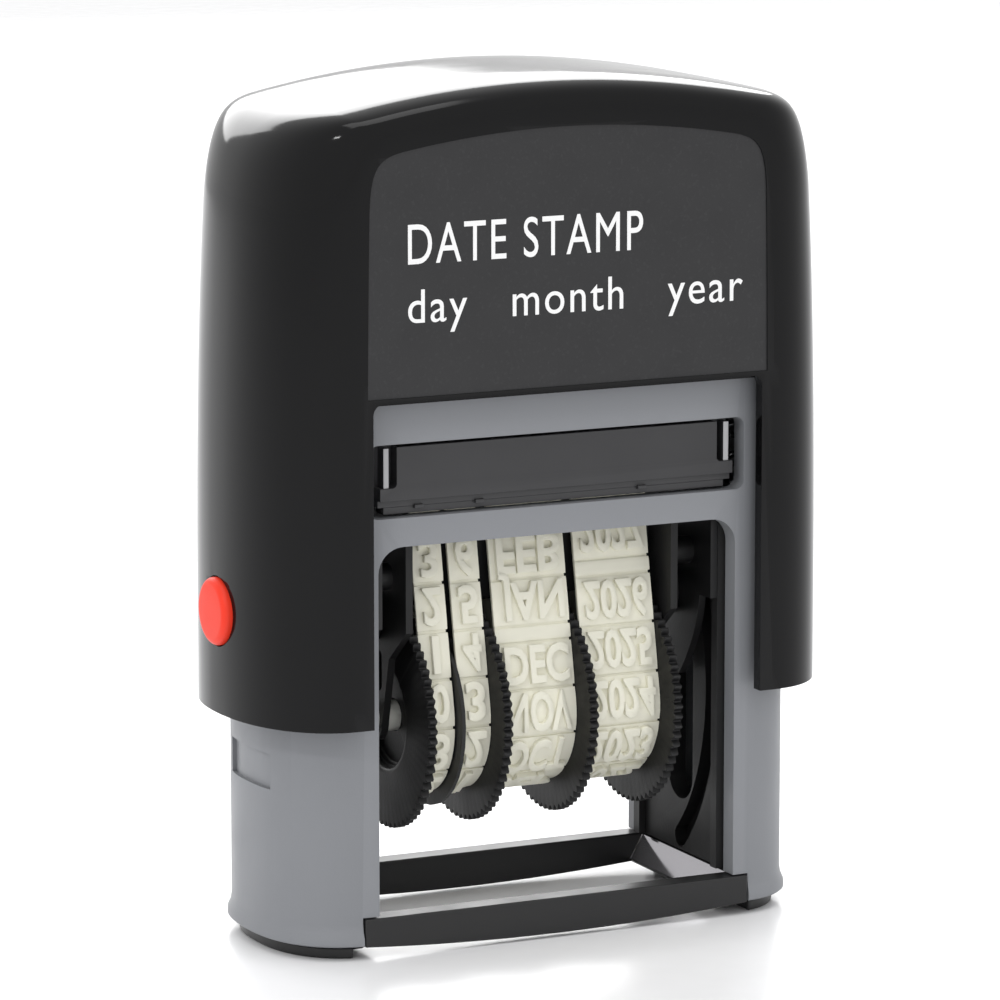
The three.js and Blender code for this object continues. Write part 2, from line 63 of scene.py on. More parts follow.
COVER_BOTTOM, COVER_TOP = span("cover", 2)
COVER_HALF_WIDTH = span("cover", 0)[1]
COVER_HALF_DEPTH = span("cover", 1)[1]
FRAME_BOTTOM, FRAME_TOP = span("frame", 2)
FRAME_FLARE_WIDTH = span("frame", 0)[1]
FRAME_FLARE_DEPTH = span("frame", 1)[1]
BASE_HALF_WIDTH = span("base_frame", 0)[1]
RAIL_HALF_DEPTH = span("base_frame", 1)[1]
RAIL_TOP = span("base_frame", 2)[1]
AXLE_Z = sum(span("band_axle", 2)) / 2
BUTTON_Z = sum(span("lock_button_left", 2)) / 2
BUTTON_OUTER = span("lock_button_right", 0)[1]
BUTTON_INNER = span("lock_button_right", 0)[0]
BAND_BOTTOM, PRINT_FACE_Z = span("year_band", 2)
BAND_RADIUS = AXLE_Z - BAND_BOTTOM
WHEEL_RADIUS = span("year_wheel", 2)[1] - AXLE_Z
PAD_CASE_BOTTOM, PAD_CASE_TOP = span("ink_pad_case", 2)
PAD_CASE_HALF_WIDTH = span("ink_pad_case", 0)[1]
PAD_CASE_HALF_DEPTH = span("ink_pad_case", 1)[1]

# Features that the frame's boxes don't give
COVER_WALL = 1.4
END_LENGTH = 9.75
CUTOUT_HALF_WIDTH = 22.6
CUTOUT_TOP = 59.2
WINDOW_HALF_WIDTH = 20.9
WINDOW_TOP = 43.6
HEAD_HALF_DEPTH = 5.2
HEAD_KNEE_Z = 43.6


# ---------- materials ----------

def linear(red, green, blue):
    """An sRGB colour, 0 to 255, as linear light."""
    def channel(value):
        value /= 255
        return value / 12.92 if value <= 0.04045 else ((value + 0.055) / 1.055) ** 2.4
    return (channel(red), channel(green), channel(blue), 1.0)


def moulded(name, colour, roughness, spread=0.04, mottle=0.12, grain=0.0, grain_scale=4000.0,
            wave=0.0, wave_scale=120.0, edge_wear=0.0, metallic=0.0, specular=0.5, speckle=0.0):
    """Plastic, rubber or metal: mottled colour, uneven roughness, fine grain, slow waves and worn edges."""
    material = bpy.data.materials.new(name)
    material.use_nodes = True
    nodes = material.node_tree.nodes
    link = material.node_tree.links.new
    shader = nodes["Principled BSDF"]
    shader.inputs["Metallic"].default_value = metallic
    shader.inputs["Specular IOR Level"].default_value = specular
    place = nodes.new("ShaderNodeTexCoord")

    def noise(scale, detail=3.0):
        node = nodes.new("ShaderNodeTexNoise")
        node.inputs["Scale"].default_value = scale
        node.inputs["Detail"].default_value = detail
        link(place.outputs["Object"], node.inputs["Vector"])
        return node

    cloud = noise(160.0)
    blend = nodes.new("ShaderNodeMix")
    blend.data_type = "RGBA"
    link(cloud.outputs["Fac"], blend.inputs["Factor"])
    blend.inputs["A"].default_value = tuple(c * (1 - mottle) for c in colour[:3]) + (1,)
    blend.inputs["B"].default_value = tuple(min(1, c * (1 + mottle)) for c in colour[:3]) + (1,)
    tint = blend.outputs["Result"]

    if speckle:
        dots = noise(grain_scale, 1.0)
        pick = nodes.new("ShaderNodeMapRange")
        pick.inputs["From Min"].default_value = 0.58
        pick.inputs["From Max"].default_value = 0.75
        pick.inputs["To Max"].default_value = speckle
        link(dots.outputs["Fac"], pick.inputs["Value"])
        lighter = nodes.new("ShaderNodeMix")
        lighter.data_type = "RGBA"
        link(pick.outputs["Result"], lighter.inputs["Factor"])
        link(tint, lighter.inputs["A"])
        lighter.inputs["B"].default_value = tuple(min(1, 0.08 + c * 2.5) for c in colour[:3]) + (1,)
        tint = lighter.outputs["Result"]

    if edge_wear:
        shape = nodes.new("ShaderNodeNewGeometry")
        rim = nodes.new("ShaderNodeMapRange")
        rim.inputs["From Min"].default_value = 0.53
        rim.inputs["From Max"].default_value = 0.62
        rim.inputs["To Max"].default_value = edge_wear
        link(shape.outputs["Pointiness"], rim.inputs["Value"])
        worn = nodes.new("ShaderNodeMix")
        worn.data_type = "RGBA"
        link(rim.outputs["Result"], worn.inputs["Factor"])
        link(tint, worn.inputs["A"])
        worn.inputs["B"].default_value = tuple(min(1, 0.04 + c * 1.8) for c in colour[:3]) + (1,)
        tint = worn.outputs["Result"]
    link(tint, shader.inputs["Base Color"])

    smudge = noise(220.0, 4.0)
    gloss = nodes.new("ShaderNodeMapRange")
    gloss.inputs["From Min"].default_value = 0.3
    gloss.inputs["From Max"].default_value = 0.7
    gloss.inputs["To Min"].default_value = max(0.02, roughness - spread)
    gloss.inputs["To Max"].default_value = min(1.0, roughness + spread)
    link(smudge.outputs["Fac"], gloss.inputs["Value"])
    link(gloss.outputs["Result"], shader.inputs["Roughness"])

    normal = None
    for strength, scale, depth in ((wave, wave_scale, 0.0004), (grain, grain_scale, 0.00004)):
        if strength:
            bump = nodes.new("ShaderNodeBump")
            bump.inputs["Strength"].default_value = strength
            bump.inputs["Distance"].default_value = depth
            link(noise(scale, 2.0).outputs["Fac"], bump.inputs["Height"])
            if normal:
                link(normal, bump.inputs["Normal"])
            normal = bump.outputs["Normal"]
    if normal:
        link(normal, shader.inputs["Normal"])
    return material


BLACK_GLOSS = moulded("black_gloss_plastic", linear(12, 12, 13), 0.1, spread=0.02, wave=0.02, wave_scale=90,
                      grain=0.02, edge_wear=0.1, specular=0.18)
BLACK_PANEL = moulded("grained_black_plastic", linear(26, 26, 28), 0.5, grain=0.4, grain_scale=2600,
                     speckle=0.06)
BLACK_SATIN = moulded("black_satin_plastic", linear(20, 20, 21), 0.36, grain=0.15, edge_wear=0.3,
                     specular=0.4)
BLACK_MATT = moulded("black_matt_plastic", linear(12, 12, 13), 0.5, grain=0.3, edge_wear=0.35, specular=0.3)
CASE_SATIN = moulded("pad_case_plastic", linear(40, 40, 42), 0.42, grain=0.15, edge_wear=0.3, specular=0.5)
GREY_SATIN = moulded("grey_satin_plastic", linear(129, 131, 135), 0.4, mottle=0.02, grain=0.2, edge_wear=0.08,
                     specular=0.3)
# Painted highlight: a light grey, mostly metallic colour that stands in for the highlight the rail ramps
# catch.
PAINTED_HIGHLIGHT_SLOPE = moulded("slope_painted_highlight", linear(170, 168, 172), 0.12, mottle=0.03, metallic=0.8)
CREAM_RUBBER = moulded("cream_rubber", linear(232, 230, 214), 0.55, mottle=0.05, grain=0.4, grain_scale=1800,
                       specular=0.35)
WHITE_NYLON = moulded("white_nylon", linear(232, 232, 224), 0.35, mottle=0.03, grain=0.1)
RED_PLASTIC = moulded("red_plastic", linear(234, 56, 34), 0.45, mottle=0.05, wave=0.02, specular=0.25)
FELT = moulded("inked_felt", linear(18, 18, 24), 0.9, grain=1.0, grain_scale=1200, mottle=0.4)
STEEL = moulded("spring_wire", linear(190, 190, 194), 0.28, metallic=1.0, grain=0.1)
RIB_GLOSS = moulded("rubbed_rib", linear(170, 170, 172), 0.25, mottle=0.05)
PRINT = moulded("white_print", linear(235, 235, 235), 0.5, mottle=0.03, grain=0.2)


# ---------- mesh tools ----------

def place(piece, body, slot, material, *replaced):
    """Finishes a piece: its material, its body and the CAD nodes it stands for. The slot argument is not
    used.
    """
    piece.data.materials.clear()
    piece.data.materials.append(material)
    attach(piece, body)
    if replaced:
        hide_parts(*replaced)
    return piece


def from_points(name, points, faces):
    """A mesh object from points in millimetres."""
    mesh = bpy.data.meshes.new(name)
    mesh.from_pydata([(x * MM, y * MM, z * MM) for x, y, z in points], [], faces)
    mesh.update()
    piece = bpy.data.objects.new(name, mesh)
    scene.collection.objects.link(piece)
    return piece


def outward(piece):
    """Turns all of a closed mesh's faces outwards."""
    work = bmesh.new()
    work.from_mesh(piece.data)
    bmesh.ops.remove_doubles(work, verts=work.verts, dist=1e-7)
    bmesh.ops.recalc_face_normals(work, faces=work.faces)
    work.to_mesh(piece.data)
    work.free()
    return piece


def prism(name, outline, axis, low, high):
    """An outline pulled along an axis. Its two coordinates are the other two axes, in X, Y, Z order."""
    others = [i for i in range(3) if i != axis]
    points = []
    for level in (low, high):
        for pair in outline:
            point = [0, 0, 0]
            point[axis] = level
            point[others[0]], point[others[1]] = pair
            points.append(tuple(point))
    count = len(outline)
    faces = [list(range(count)), list(range(count, 2 * count))]
    faces += [(i, (i + 1) % count, count + (i + 1) % count, count + i) for i in range(count)]
    return outward(from_points(name, points, faces))


def block(name, low, high):
    """A box between two corners, as a cutter or as a plain stretch of a larger piece."""
    outline = [(low[0], low[1]), (high[0], low[1]), (high[0], high[1]), (low[0], high[1])]
    return prism(name, outline, 2, low[2], high[2])


def sided(side, near, far):
    """Two distances from the middle on one side, -1 or 1, as a low and a high coordinate."""
    return sorted((side * near, side * far))


def loft(name, rings, closed_ring=True, closed_loft=False):
    """Rings of points joined by quads: closed across the ends, or round from the last ring to the first."""
    count = len(rings[0])
    points = [point for ring in rings for point in ring]
    faces = []
    for level in range(len(rings) if closed_loft else len(rings) - 1):
        a, b = level * count, ((level + 1) % len(rings)) * count
        for i in range(count if closed_ring else count - 1):
            j = (i + 1) % count
            faces.append((a + i, a + j, b + j, b + i))
    if not closed_loft:
        faces.append(list(range(count)))
        faces.append(list(range(len(points) - count, len(points))))
    return outward(from_points(name, points, faces))


def lathe_rings(profile, height, steps, toothed=None):
    """Rings for loft: (x, radius) pairs turned about a line along X. toothed changes a radius by step."""
    rings = []
    for x, radius in profile:
        ring = []
        for i in range(steps):
            turn = 2 * math.pi * i / steps
            here = toothed(i, radius) if toothed else radius
            ring.append((x, here * math.cos(turn), height + here * math.sin(turn)))
        rings.append(ring)
    return rings


def combine(target, other, operation):
    """Cuts or joins another mesh, which goes."""
    modifier = target.modifiers.new(operation.lower(), "BOOLEAN")
    modifier.operation = operation
    modifier.solver = "EXACT"
    modifier.object = other
    bake(target)
    bpy.data.objects.remove(other)
    return target


def bake(piece):
    """Applies a piece's modifiers to its mesh."""
    bpy.context.view_layer.update()
    shown = piece.evaluated_get(bpy.context.evaluated_depsgraph_get())
    mesh = bpy.data.meshes.new_from_object(shown)
    piece.modifiers.clear()
    piece.data = mesh
    return piece


def smooth(piece):
    for polygon in piece.data.polygons:
        polygon.use_smooth = True


def soften(piece, width=0.25, segments=3, angle=35, clean=True):
    """Rounds a piece's sharp edges, and shades its faces so that the flat ones stay flat."""
    if clean:
        flat = piece.modifiers.new("flat_faces", "DECIMATE")
        flat.decimate_type = "DISSOLVE"
        flat.angle_limit = math.radians(0.5)
    bevel = piece.modifiers.new("round_edges", "BEVEL")
    bevel.width = width * MM
    bevel.segments = segments
    bevel.limit_method = "ANGLE"
    bevel.angle_limit = math.radians(angle)
    smooth(piece)
    weighted = piece.modifiers.new("even_shading", "WEIGHTED_NORMAL")
    weighted.keep_sharp = True
    return piece


def super_plan(half_width, half_depth, end_length, exponent, steps=20):
    """A long plan with straight faces and superellipse ends, counter-clockwise."""
    quarter = [i / steps * math.pi / 2 for i in range(steps + 1)]
    points = []
    for sx, sy, turns in ((1, 1, quarter), (-1, 1, quarter[::-1]), (-1, -1, quarter), (1, -1, quarter[::-1])):
        for turn in turns:
            x = half_width - end_length + end_length * max(0.0, math.cos(turn)) ** (2 / exponent)
            y = half_depth * max(0.0, math.sin(turn)) ** (2 / exponent)
            point = (sx * x, sy * y)
            if not points or math.dist(points[-1], point) > 1e-4:
                points.append(point)
    if math.dist(points[0], points[-1]) < 1e-4:
        points.pop()
    return points


def rounded(left, low, right, high, radius, steps=6, bottom_radius=None):
    """A rectangle with round corners."""
    bottom = radius if bottom_radius is None else bottom_radius
    corners = (
        (right - bottom, low + bottom, -90, bottom), (right - radius, high - radius, 0, radius),
        (left + radius, high - radius, 90, radius), (left + bottom, low + bottom, 180, bottom),
    )
    points = []
    for x, y, start, size in corners:
        if size <= 0:
            points.append((x, y))
            continue
        for i in range(steps + 1):
            turn = math.radians(start + 90 * i / steps)
            points.append((x + size * math.cos(turn), y + size * math.sin(turn)))
    return points


def text_mesh(text, extrude, resolution, spacing=1.0, bold=0.0, bevel=0.0):
    """A line of text as a mesh, with its lowest corner and its size."""
    curve = bpy.data.curves.new("text", "FONT")
    curve.body = text
    curve.extrude = extrude
    curve.resolution_u = resolution
    curve.space_character = spacing
    curve.offset = bold
    curve.bevel_depth = bevel
    curve.bevel_resolution = 0
    holder = bpy.data.objects.new("text", curve)
    scene.collection.objects.link(holder)
    bpy.context.view_layer.update()
    mesh = bpy.data.meshes.new_from_object(holder.evaluated_get(bpy.context.evaluated_depsgraph_get()))
    bpy.data.objects.remove(holder)
    low = [min(v.co[i] for v in mesh.vertices) for i in range(3)]
    size = [max(v.co[i] for v in mesh.vertices) - low[i] for i in range(3)]
    return mesh, low, size


# ---------- cover ----------

PANEL_BOTTOM = CUTOUT_TOP + 0.45
PANEL_STEP = 0.14
PANEL_MARGIN = 0.8
SIDE_TOP = 79.0
SHOULDER_HALF_WIDTH = 32.6
SIDE_SQUARENESS = 2.2
TOP_SQUARENESS = 4.8
BUTTON_RADIUS = 3.6
BUTTON_GAP = 0.15
FACE_HALF_WIDTH = COVER_HALF_WIDTH - END_LENGTH


def bezier(a, b, c, d, t):
    """A point of a cubic curve from a to d."""
    u = 1 - t
    weights = (u ** 3, 3 * u * u * t, 3 * u * t * t, t ** 3)
    return tuple(sum(w * p[i] for w, p in zip(weights, (a, b, c, d))) for i in range(2))


def cover_half_outlines():
    """The cover's right half, bottom to top: its outline, its flat face's edge and its squareness."""
    outer, face, square = [], [], []
    levels = [COVER_BOTTOM + (PANEL_BOTTOM - COVER_BOTTOM) * i / 12 for i in range(13)]
    levels += [PANEL_BOTTOM + (SIDE_TOP - PANEL_BOTTOM) * i / 10 for i in range(1, 11)]
    lean = COVER_HALF_WIDTH - SHOULDER_HALF_WIDTH
    for z in levels:
        share = (z - COVER_BOTTOM) / (SIDE_TOP - COVER_BOTTOM)
        outer.append((COVER_HALF_WIDTH - lean * share ** 3, z))
        face.append((FACE_HALF_WIDTH - 0.35 * share ** 3, min(z, SIDE_TOP)))
        square.append(SIDE_SQUARENESS)
    outer_side, face_side = outer[-1], face[-1]
    outer_top, face_top = (25.0, 89.0), (19.0, 85.9)
    steps = 18
    for i in range(1, steps + 1):
        t = i / steps
        outer.append(bezier(outer_side, (31.9, 86.0), (30.0, 88.2), outer_top, t))
        face.append(bezier(face_side, (FACE_HALF_WIDTH - 0.5, 83.8), (22.6, 85.3), face_top, t))
        square.append(SIDE_SQUARENESS + (TOP_SQUARENESS - SIDE_SQUARENESS) * t ** 3)
    for i in range(1, 17):
        t = i / 16
        z_outer = outer_top[1] + (COVER_TOP - outer_top[1]) * (2 * t - t * t)
        z_face = face_top[1] + (COVER_TOP - 4.2 - face_top[1]) * (2 * t - t * t)
        outer.append((outer_top[0] * (1 - t), z_outer))
        face.append((face_top[0] * (1 - t), z_face))
        square.append(TOP_SQUARENESS)
    return outer, face, square


def mirrored(points):
    """A right half, bottom to top, made into a whole outline from left foot over the top to right foot."""
    return [(-x, z) for x, z in points] + [(x, z) for x, z in points[-2::-1]]


def make_cover():
    outer, face, square = cover_half_outlines()
    outer, face = mirrored(outer), mirrored(face)
    square = square + square[-2::-1]
    count = len(outer)
    turns = 36
    points, faces = [], []
    for k in range(turns + 1):
        turn = math.pi * k / turns
        for (ox, oz), (fx, fz), n in zip(outer, face, square):
            share = abs(math.sin(turn)) ** (2 / n) if 0 < k < turns else 0.0
            depth = -math.copysign(abs(math.cos(turn)) ** (2 / n), math.cos(turn))
            points.append((fx + (ox - fx) * share, COVER_HALF_DEPTH * depth, fz + (oz - fz) * share))
    for k in range(turns):
        for i in range(count - 1):
            a, b = k * count + i, (k + 1) * count + i
            faces.append((a, a + 1, b + 1, b))

    # The flat front and back, each with its cut-out and its stepped panel
    low = [i for i in range(count) if face[i][1] < PANEL_BOTTOM - 1e-6]
    high = [i for i in range(count) if i not in low]
    left_low = [i for i in low if i < count / 2]
    right_low = [i for i in low if i > count / 2]
    for row, side in ((0, -1), (turns, 1)):
        y = side * COVER_HALF_DEPTH

        def add(x, z, depth=0.0):
            points.append((x, y - side * depth, z))
            return len(points) - 1

        cut = [add(*p) for p in rounded(-CUTOUT_HALF_WIDTH, COVER_BOTTOM, CUTOUT_HALF_WIDTH, CUTOUT_TOP, 1.2,
                                        bottom_radius=0)]
        # rounded() starts at the bottom right and goes up, over and down to the bottom left
        panel_outline = []
        for i in high:
            x, z = face[i]
            inward = Vector((-math.copysign(1, x) if abs(x) > 1e-6 else 0, 0))
            if 0 < i < count - 1:
                along = Vector(face[i + 1]) - Vector(face[i - 1])
                inward = Vector((along.y, -along.x)).normalized()
            shifted = Vector((x, z)) + inward * PANEL_MARGIN
            panel_outline.append((shifted.x, max(shifted.y, PANEL_BOTTOM)))
        rim = [add(x, z) for x, z in panel_outline]
        floor = [add(x, z, PANEL_STEP) for x, z in panel_outline]
        edge = [row * count + i for i in high]
        faces.append(edge + rim[::-1])
        lower = [row * count + i for i in left_low] + [edge[0], rim[0], rim[-1], edge[-1]]
        lower += [row * count + i for i in right_low] + cut
        faces.append(lower)
        ring = len(rim)
        faces += [(rim[i], rim[(i + 1) % ring], floor[(i + 1) % ring], floor[i]) for i in range(ring)]
        faces.append(floor)
    cover = outward(from_points("cover_shell", points, faces))
    if max(cover.data.polygons, key=lambda p: p.center.z).normal.z < 0:
        cover.data.flip_normals()
    wall = cover.modifiers.new("wall", "SOLIDIFY")
    wall.thickness = COVER_WALL * MM
    wall.offset = -1
    bake(cover)
    hole_radius = BUTTON_RADIUS + BUTTON_GAP
    for side in (-1, 1):
        hole_line = [(side * 30, hole_radius), (side * 36, hole_radius)]
        hole = loft("button_hole", lathe_rings(hole_line, BUTTON_Z, 48))
        combine(cover, hole, "DIFFERENCE")
    soften(cover, 0.22, 3, 50, clean=False)
    bake(cover)
    place(cover, "cover", "black_gloss", BLACK_GLOSS, "cover")
    cover.data.materials.append(BLACK_PANEL)
    face_plane = (COVER_HALF_DEPTH - PANEL_STEP - 0.03) * MM
    for polygon in cover.data.polygons:
        centre = polygon.center
        on_panel = face_plane < abs(centre.y) < face_plane + 0.06 * MM and centre.z > PANEL_BOTTOM * MM
        polygon.material_index = 1 if on_panel and abs(polygon.normal.y) > 0.99 else 0
    return cover


def printed(name, text, height, left, right, base):
    """A line of white print on the cover's front panel, between left and right."""
    mesh, corner, size = text_mesh(text, extrude=0.02, resolution=6, spacing=1.12)
    back = COVER_HALF_DEPTH - PANEL_STEP - 0.03
    thickness = 0.08
    for v in mesh.vertices:
        share = [(v.co[i] - corner[i]) / size[i] for i in range(3)]
        x = left + share[0] * (right - left)
        y = -(back + thickness * share[2])
        v.co = Vector((x, y, base + share[1] * height)) * MM
    piece = bpy.data.objects.new(name, mesh)
    scene.collection.objects.link(piece)
    outward(piece)
    return place(piece, "cover", "black_gloss", PRINT)


# ---------- frame and base ----------

FRAME_SQUARENESS = 2.4
DECK_HALF_WIDTH, DECK_BOTTOM, DECK_TOP = 20.5, 56, 57.5
LEDGE_INNER, LEDGE_OUTER, LEDGE_BOTTOM, LEDGE_TOP = 17.8, 19.9, 45.2, 46.5
SHELF_INNER, SHELF_BOTTOM, SHELF_TOP = 24.8, 36, 38
PAD_SLOT_HALF_WIDTH, PAD_SLOT_BOTTOM, PAD_SLOT_TOP = 21.9, 46.65, 54.42
RAIL_SLOT_HALF_WIDTH, RAIL_SLOT_TOP = 22.75, 4.5
CHAMFER_INNER, CHAMFER_BOTTOM = 27, 57.5
RECESS_HALF_DEPTH, RECESS_BOTTOM, RECESS_TOP, RECESS_DEPTH = 5, 17.5, 21.3, 0.45


def make_frame():
    """The grey housing: a flared shell with a deck, ledges, spring shelves, windows and end recesses."""
    width, depth = FRAME_FLARE_WIDTH - 0.4, FRAME_FLARE_DEPTH - 0.4
    rings = []
    for z, grow in ((FRAME_BOTTOM, 0.25), (FRAME_BOTTOM + 0.15, 0.4), (FRAME_BOTTOM + 0.8, 0.38),
                    (FRAME_BOTTOM + 1.5, 0.12), (FRAME_BOTTOM + 2.4, 0.0), (FRAME_TOP, 0.0)):
        plan = super_plan(width + grow, depth + grow, END_LENGTH, FRAME_SQUARENESS)
        rings.append([(x, y, z) for x, y in plan])
    housing = loft("frame_housing", rings)
    inner_depth = depth - 2.2
    hollow_plan = super_plan(width - 1.4, inner_depth, END_LENGTH - 1, FRAME_SQUARENESS)
    hollow = prism("hollow", hollow_plan, 2, -1, FRAME_TOP + 1)
    combine(housing, hollow, "DIFFERENCE")
    reach = inner_depth + 0.5
    deck = block("deck", (-DECK_HALF_WIDTH, -reach, DECK_BOTTOM), (DECK_HALF_WIDTH, reach, DECK_TOP))
    combine(housing, deck, "UNION")
    for side in (-1, 1):
        low, high = sided(side, LEDGE_INNER, LEDGE_OUTER)
        ledge = block("ledge", (low, -reach, LEDGE_BOTTOM), (high, reach, LEDGE_TOP))
        combine(housing, ledge, "UNION")
        shelf_plan = super_plan(width - 0.7, depth - 1, END_LENGTH - 0.5, FRAME_SQUARENESS)
        shelf = prism("shelf", shelf_plan, 2, SHELF_BOTTOM, SHELF_TOP)
        low, high = sided(side, SHELF_INNER, 40)
        combine(shelf, block("end", (low, -30, 30), (high, 30, 50)), "INTERSECT")
        combine(housing, shelf, "UNION")
    slots = (
        rounded(-WINDOW_HALF_WIDTH, FRAME_BOTTOM, WINDOW_HALF_WIDTH, WINDOW_TOP, 2.8, 8, bottom_radius=0),
        rounded(-PAD_SLOT_HALF_WIDTH, PAD_SLOT_BOTTOM, PAD_SLOT_HALF_WIDTH, PAD_SLOT_TOP, 1.0),
        rounded(-RAIL_SLOT_HALF_WIDTH, -1, RAIL_SLOT_HALF_WIDTH, RAIL_SLOT_TOP, 0),
    )
    for outline in slots:
        for side in (-1, 1):
            low, high = sided(side, 9.5, 16)
            combine(housing, prism("slot", outline, 1, low, high), "DIFFERENCE")
    for side in (-1, 1):
        corner = [
            (side * CHAMFER_INNER, FRAME_TOP + 1), (side * CHAMFER_INNER, FRAME_TOP),
            (side * width, CHAMFER_BOTTOM), (side * 34, CHAMFER_BOTTOM), (side * 34, FRAME_TOP + 1),
        ]
        combine(housing, prism("corner", corner, 1, -16, 16), "DIFFERENCE")
    below, above = RECESS_BOTTOM - 0.5, RECESS_TOP + 0.7
    skin_plan = super_plan(width + 1, depth + 1, END_LENGTH, FRAME_SQUARENESS)
    skin = prism("skin", skin_plan, 2, RECESS_BOTTOM, RECESS_TOP)
    core_plan = super_plan(width - RECESS_DEPTH, depth - RECESS_DEPTH, END_LENGTH - 0.3, FRAME_SQUARENESS)
    combine(skin, prism("core", core_plan, 2, below, above), "DIFFERENCE")
    middle = block("middle", (-40, -RECESS_HALF_DEPTH, below), (40, RECESS_HALF_DEPTH, above))
    combine(skin, middle, "INTERSECT")
    combine(housing, skin, "DIFFERENCE")
    soften(housing, 0.28, 3, 40)
    bake(housing)
    return place(housing, "frame", "grey_housing", GREY_SATIN, "frame")


def make_base():
    """The rails bow down a little between the foot plates."""
    half, outer, inner = 22.6, RAIL_HALF_DEPTH, 10.0
    steps = 16
    bottom = [(-half + 2 * half * i / steps, 0.45 + 0.9 * (2 * i / steps - 1) ** 2) for i in range(steps + 1)]
    base = prism("base_rails", bottom + [(half, RAIL_TOP), (-half, RAIL_TOP)], 1, -outer, outer)
    combine(base, block("opening", (-20, -inner, -1), (20, inner, RAIL_TOP + 1)), "DIFFERENCE")
    for side in (-1, 1):
        slope = [(side * 19, RAIL_TOP + 0.5), (side * 21.8, RAIL_TOP + 0.5), (side * 19.4, 0.45)]
        combine(base, prism("slope", slope, 1, -inner, inner), "DIFFERENCE")
        foot = prism("foot", super_plan(29.8, 11.6, 9.4, FRAME_SQUARENESS), 2, 0, 1.2)
        low, high = sided(side, 23.4, 40)
        combine(foot, block("end", (low, -30, -5), (high, 30, 5)), "INTERSECT")
        combine(base, foot, "UNION")
        low, high = sided(side, 21.6, 23.9)
        combine(base, block("web", (low, -inner, 0.6), (high, inner, 1.2)), "UNION")
    soften(base, 0.2, 2, 40)
    bake(base)
    place(base, "frame", "black_satin", BLACK_SATIN, "base_frame")
    # Painted highlight: the sloping ramp faces inside the rail opening get the light grey metallic colour in
    # place of the highlight they catch.
    base.data.materials.append(PAINTED_HIGHLIGHT_SLOPE)
    for polygon in base.data.polygons:
        sloping = 0.3 < polygon.normal.z < 0.7 and abs(polygon.normal.x) > 0.7
        inside = 18 * MM < abs(polygon.center.x) < 22.5 * MM and abs(polygon.center.y) < inner * MM
        polygon.material_index = 1 if sloping and inside else 0
    return base


# ---------- bands ----------

def band_half_path(inset):
    """The front half of a band's run, from the middle of the print face down to the bottom of the drum."""
    radius = BAND_RADIUS - inset
    half = HEAD_HALF_DEPTH - inset
    corner = max(1.5 - inset, 0.4)
    top = PRINT_FACE_Z - inset
    points = [(-(half - corner) * i / 8, top) for i in range(9)]
    for i in range(1, 9):
        turn = math.pi / 2 + math.pi / 2 * i / 8
        points.append((-(half - corner) + corner * math.cos(turn), top - corner + corner * math.sin(turn)))
    lean = math.atan2(BAND_RADIUS - HEAD_HALF_DEPTH, HEAD_KNEE_Z - AXLE_Z)
    start, end = points[-1], (-radius * math.cos(lean), AXLE_Z + radius * math.sin(lean))
    knee = (-half, HEAD_KNEE_Z)
    for a, b, steps in ((start, knee, 4), (knee, end, 24)):
        for i in range(1, steps + 1):
            points.append((a[0] + (b[0] - a[0]) * i / steps, a[1] + (b[1] - a[1]) * i / steps))
    sweep = math.pi / 2 + lean
    for i in range(1, 41):
        turn = math.pi - lean + sweep * i / 40
        points.append((radius * math.cos(turn), AXLE_Z + radius * math.sin(turn)))
    return points


class BandPath:
    """A band's closed run: a place at a distance along it, and at a height off it."""

    def __init__(self, inset):
        front = band_half_path(inset)
        self.points = front + [(-y, z) for y, z in front[-2:0:-1]]
        self.lengths = [0.0]
        for a, b in zip(self.points, self.points[1:] + self.points[:1]):
            self.lengths.append(self.lengths[-1] + math.dist(a, b))
        self.total = self.lengths[-1]

    def at(self, distance, height=0.0):
        distance %= self.total
        index = max(i for i, length in enumerate(self.lengths[:-1]) if length <= distance)
        a = self.points[index]
        b = self.points[(index + 1) % len(self.points)]
        length = self.lengths[index + 1] - self.lengths[index]
        share = (distance - self.lengths[index]) / length
        tangent = ((b[0] - a[0]) / length, (b[1] - a[1]) / length)
        y = a[0] + (b[0] - a[0]) * share
        z = a[1] + (b[1] - a[1]) * share
        return y + tangent[1] * height, z - tangent[0] * height


CHARACTER_HEIGHT = 4.0
RELIEF = 0.5
PLATE_HEIGHT = 0.25
STRAP_INSET = RELIEF + PLATE_HEIGHT
BAND_THICKNESS = 1.2
CAP_SHARE = 0.73
PLATE_GAP = 0.16
BLANK_PLATE = 1.9


def glyphs(text, width):
    """Raised characters as points and faces, centred, x along the text and y up, lying on z from 0 to 1."""
    mesh, corner, size = text_mesh(text, extrude=0.1, resolution=3, bold=0.02, bevel=0.012)
    scale = CHARACTER_HEIGHT / CAP_SHARE
    squeeze = width / size[0]
    if len(text) <= 2:
        squeeze = min(scale, squeeze)
    middle = corner[0] + size[0] / 2
    points = []
    for v in mesh.vertices:
        lift = (v.co.z - corner[2]) / size[2]
        points.append(((v.co.x - middle) * squeeze, (v.co.y - CAP_SHARE / 2) * scale, lift))
    faces = [tuple(p.vertices) for p in mesh.polygons]
    bpy.data.meshes.remove(mesh)
    return points, faces


